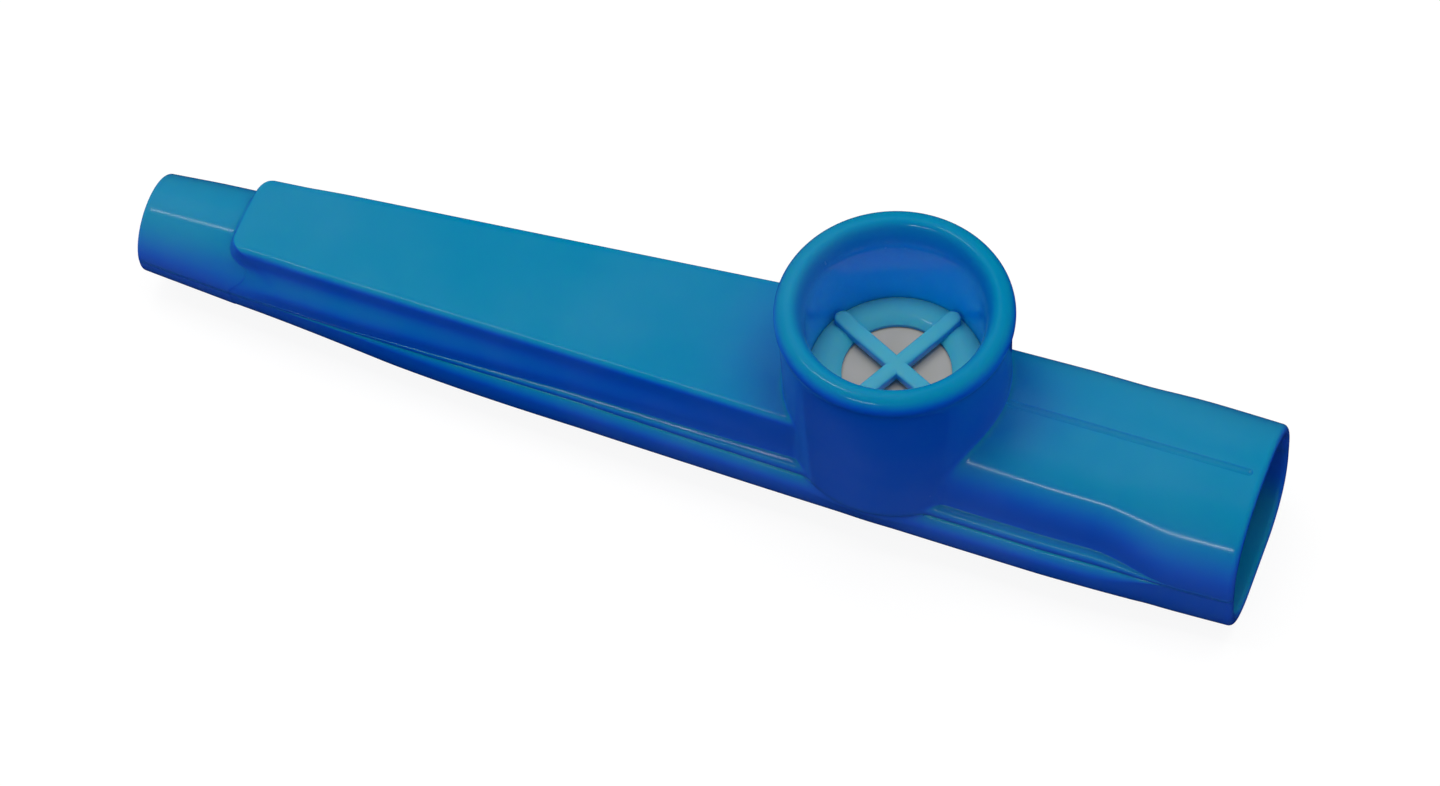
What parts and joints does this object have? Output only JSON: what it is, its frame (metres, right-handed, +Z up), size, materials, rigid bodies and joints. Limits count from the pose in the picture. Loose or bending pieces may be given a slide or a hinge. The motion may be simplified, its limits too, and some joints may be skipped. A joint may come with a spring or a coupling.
{
  "type": "kazoo",
  "caption": "Submarine-shaped moulded kazoo: tapered hollow body, round turret with an open cup, membrane on a ring under a cross grille.",
  "frame": {"origin": "centre of the bounding box's base: halfway along the body, on its middle plane, in the plane of the flat underside", "axes": "+X along the body towards the wide mouth, +Y across it, +Z up out of the turret's cup"},
  "size_m": [0.12, 0.0238, 0.0298],
  "materials": {
    "body": "gloss, slightly translucent blue",
    "grille": "gloss, slightly translucent blue",
    "ring": "matt white",
    "film": "matt greyish pink film"
  },
  "bodies": {
    "body": {"upper_shell": "body", "lower_shell": "body"},
    "grille_body": {"grille": "grille"},
    "resonator": {"membrane_ring": "ring", "membrane": "film"}
  },
  "joints": [
    {"name": "grille_lift", "type": "slide", "parent": "body", "child": "grille_body", "axis": [0, 0, 1], "range_m": [0, 0.024]},
    {"name": "resonator_lift", "type": "slide", "parent": "body", "child": "resonator", "axis": [0, 0, 1], "range_m": [0, 0.0144]}
  ],
  "couplings": [
    {"joint": "resonator_lift", "follows": "grille_lift", "ratio": 0.6}
  ]
}
